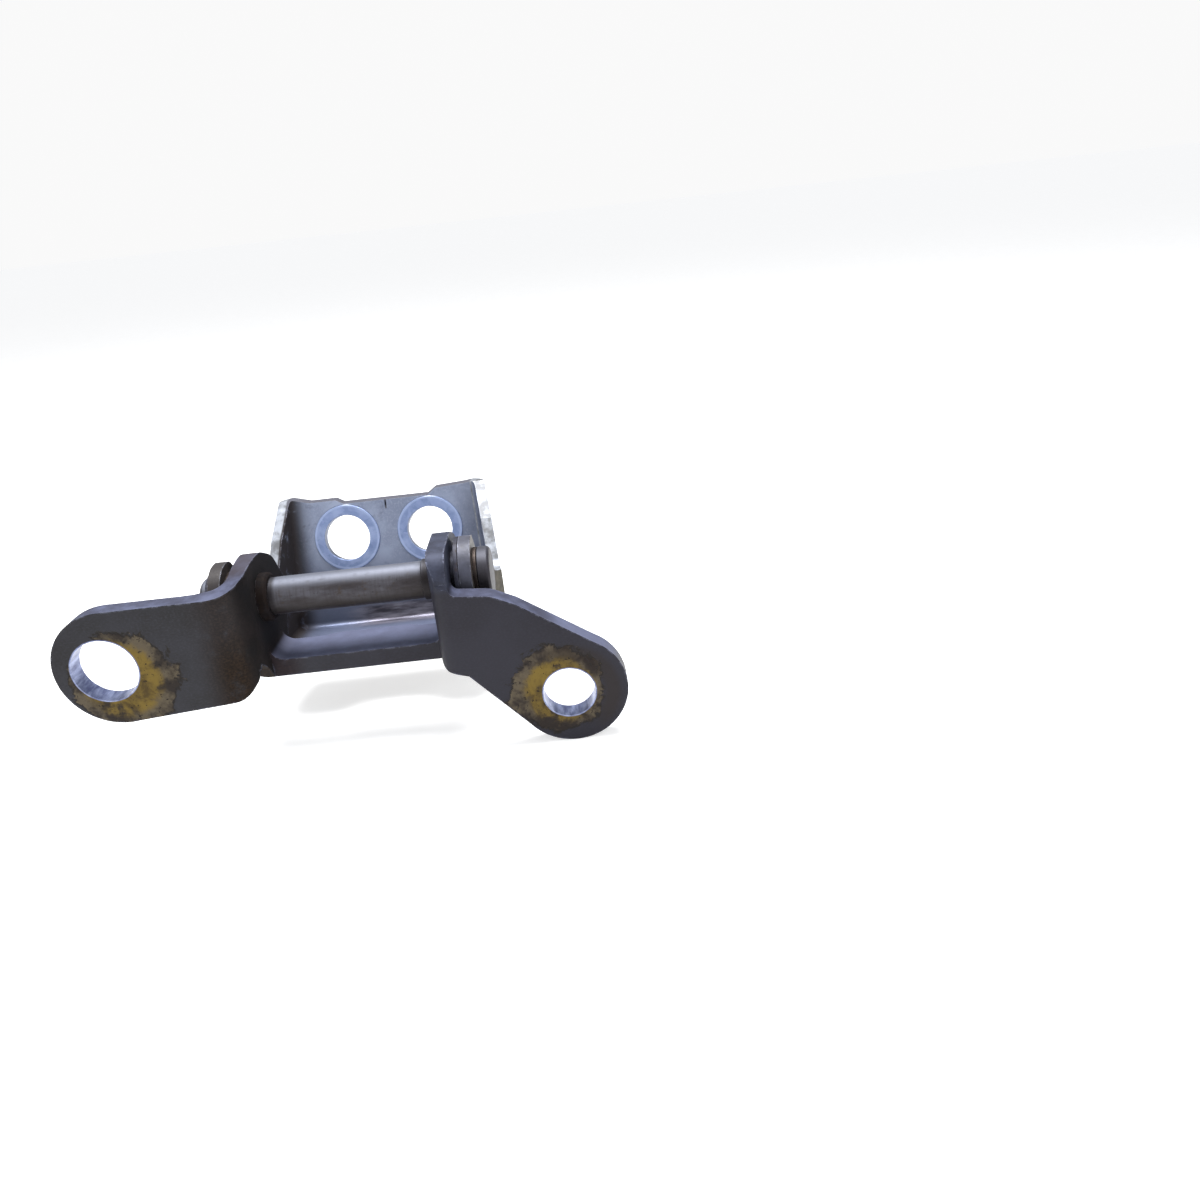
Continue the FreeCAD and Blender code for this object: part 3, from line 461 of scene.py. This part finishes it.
def zinc_ring():
    n = Nodes("zinc_ring")
    spangle = n.add("ShaderNodeTexVoronoi")
    spangle.inputs["Scale"].default_value = 0.8
    n.link(n.place, spangle.inputs["Vector"])
    tone = n.add("ShaderNodeSeparateColor")
    n.link(spangle.outputs["Color"], tone.inputs[0])
    cloud = n.noise(3.2, 4, 0.6)
    colour = n.mix(tone.outputs[0], linear(124, 142, 184), linear(146, 162, 204))
    colour = n.mix(n.step(cloud, 0.4, 0.7), colour, linear(158, 174, 212))
    from_axis = n.calc("MINIMUM", n.distance(RING_A), n.distance(RING_B))
    # painted highlight: a lighter band is painted along the outer rim
    rim = n.band(from_axis, RING_RADIUS - 0.25, 0.35)
    colour = n.mix(n.both(rim, 0.6), colour, linear(176, 192, 228))
    # painted shade: the bore wall inside the ring is painted dark
    along = n.add("ShaderNodeVectorMath", operation="DOT_PRODUCT")
    n.link(n.facing, along.inputs[0])
    along.inputs[1].default_value = MOUNTS["door_bolt_hole_peened_end"]["axis"]
    inward = n.step(from_axis, RING_RADIUS - 0.4, RING_RADIUS - 0.8)
    bore_shade = n.both(n.step(n.calc("ABSOLUTE", along.outputs["Value"]), 0.5, 0.3), inward)
    colour = n.mix(n.both(bore_shade, 0.75), colour, linear(40, 42, 52))
    wear = n.edges(0.3)
    colour = n.mix(n.both(wear, 0.4), colour, linear(160, 176, 206))
    rough = n.calc("ADD", 0.3, n.calc("MULTIPLY", cloud, 0.25))
    height = n.calc("ADD", n.calc("MULTIPLY", cloud, 0.6), n.calc("MULTIPLY", tone.outputs[0], 0.15))
    return n.finish(colour, rough, 0.55, n.bump(height, 0.05, 0.4))


MATERIALS = {
    "dark_plate": dark_plate(),
    "pressed_sheet": pressed_sheet(),
    "pin_steel": oiled_steel("pin_steel", (54, 50, 52), (86, 85, 92), (58, 48, 40), 0.3, 0.46, 0.6,
                             shade=pin_shade),
    "collar_steel": oiled_steel("collar_steel", (16, 13, 14), (30, 25, 26), (26, 19, 16), 0.8, 0.7, 0.15, 0.08),
    "washer_steel": oiled_steel("washer_steel", (36, 36, 44), (64, 65, 79), (46, 35, 33), 0.4, 0.46, 0.5),
    "bush_bronze": oiled_steel("bush_bronze", (46, 38, 36), (70, 60, 54), (38, 30, 28), 0.6, 0.38, 0.7),
    "zinc_ring": zinc_ring(),
}

# -------- finish of every CAD node

EDGE_RADIUS_MM = {
    "pillar_bracket": 0.9,
    "door_bracket": 0.5,
    "hinge_pin": 0.25,
    "seat_ring_peened_end": 0.15,
    "seat_ring_head_end": 0.15,
}
SMALL_EDGE_MM = 0.12
SAME_POINT_M = 1e-6
FLAT_WITHIN_DEG = 0.6
SOFTEN_OVER_DEG = 32


def dress(obj, material, radius_mm):
    obj.data.materials.clear()
    obj.data.materials.append(material)
    weld = obj.modifiers.new("join_seams", "WELD")
    weld.merge_threshold = SAME_POINT_M
    flat = obj.modifiers.new("flat_faces", "DECIMATE")
    flat.decimate_type = "DISSOLVE"
    flat.angle_limit = math.radians(FLAT_WITHIN_DEG)
    bevel = obj.modifiers.new("soft_edges", "BEVEL")
    bevel.width = radius_mm * MM
    bevel.segments = 3
    bevel.limit_method = "ANGLE"
    bevel.angle_limit = math.radians(SOFTEN_OVER_DEG)
    bevel.use_clamp_overlap = True
    bevel.harden_normals = False
    shade = obj.modifiers.new("even_normals", "WEIGHTED_NORMAL")
    shade.keep_sharp = True


def dress_all():
    for subpart in frame["record"]["subparts"]:
        name = subpart["node"]
        obj = frame["nodes"][name]
        dress(obj, MATERIALS[subpart["material_slot"]], EDGE_RADIUS_MM.get(name, SMALL_EDGE_MM))


# -------- floor, lights, camera

FLOOR_HALF_M = 8.0
FLOOR_GLOW = 0.62
ROOM_STRENGTH = 0.5
PAPER_STRENGTH = 0.95


def make_floor():
    """White paper at the foot of the object, wide enough to reach past every view."""
    low = CAD_BOX[0][2]
    size = FLOOR_HALF_M
    mesh = bpy.data.meshes.new("floor")
    corners = [(-size, -size, low), (size, -size, low), (size, size, low), (-size, size, low)]
    mesh.from_pydata(corners, [], [(0, 1, 2, 3)])
    floor = bpy.data.objects.new("floor", mesh)
    bpy.context.scene.collection.objects.link(floor)
    n = Nodes("floor_paper")
    fibre = n.noise(6, 3, 0.5)
    colour = n.two_tone(fibre, 0.3, 0.7, (204, 204, 204), (212, 212, 212))
    n.finish(colour, 0.9, 0.0, n.bump(fibre, 0.02, 0.1))
    paper = n.tree.nodes["Principled BSDF"]
    paper.inputs["Emission Color"].default_value = (1, 1, 1, 1)
    paper.inputs["Emission Strength"].default_value = FLOOR_GLOW
    mesh.materials.append(n.material)


def area_light(name, place_mm, target_mm, size_mm, power, colour=(1, 1, 1)):
    data = bpy.data.lights.new(name, "AREA")
    data.shape = "RECTANGLE"
    data.size, data.size_y = size_mm[0] * MM, size_mm[1] * MM
    data.energy = power
    data.color = colour
    lamp = bpy.data.objects.new(name, data)
    lamp.location = Vector(place_mm) * MM
    aim = (Vector(target_mm) - Vector(place_mm)).to_track_quat("-Z", "Y")
    lamp.rotation_euler = aim.to_euler()
    bpy.context.scene.collection.objects.link(lamp)


def make_lights():
    middle = (50, 20, 0)
    area_light("overhead", (80, 120, 520), middle, (420, 300), 6.6)
    area_light("front_left", (-260, -420, 260), middle, (300, 300), 0.5, (1.0, 0.98, 0.95))
    area_light("front_right", (420, -260, 300), middle, (260, 260), 0.5, (0.92, 0.95, 1.0))
    make_world()


def make_world():
    """A soft even room light, whiter where the camera sees it past the floor."""
    world = bpy.data.worlds.new("soft_room")
    world.use_nodes = True
    tree = world.node_tree
    room = tree.nodes["Background"]
    room.inputs[0].default_value = (0.95, 0.97, 1.0, 1.0)
    room.inputs[1].default_value = ROOM_STRENGTH
    paper = tree.nodes.new("ShaderNodeBackground")
    paper.inputs[0].default_value = (1.0, 1.0, 1.0, 1.0)
    paper.inputs[1].default_value = PAPER_STRENGTH
    rays = tree.nodes.new("ShaderNodeLightPath")
    choose = tree.nodes.new("ShaderNodeMixShader")
    tree.links.new(rays.outputs["Is Camera Ray"], choose.inputs[0])
    tree.links.new(room.outputs[0], choose.inputs[1])
    tree.links.new(paper.outputs[0], choose.inputs[2])
    tree.links.new(choose.outputs[0], tree.nodes["World Output"].inputs["Surface"])
    bpy.context.scene.world = world


CAMERA_MM = (98.77, -182.92, 79.29)
CAMERA_TURN_DEG = (67.411, 5.597, -3.005)
LENS_MM = 29.47


def make_camera():
    data = bpy.data.cameras.new("camera")
    data.lens = LENS_MM
    data.sensor_width = 36
    data.clip_start = 0.005
    camera = bpy.data.objects.new("camera", data)
    camera.location = Vector(CAMERA_MM) * MM
    camera.rotation_euler = Euler([math.radians(angle) for angle in CAMERA_TURN_DEG], "XYZ")
    bpy.context.scene.collection.objects.link(camera)
    bpy.context.scene.camera = camera


def main():
    dress_all()
    make_floor()
    make_lights()
    make_camera()
    bpy.context.scene.view_settings.view_transform = "Standard"


main()
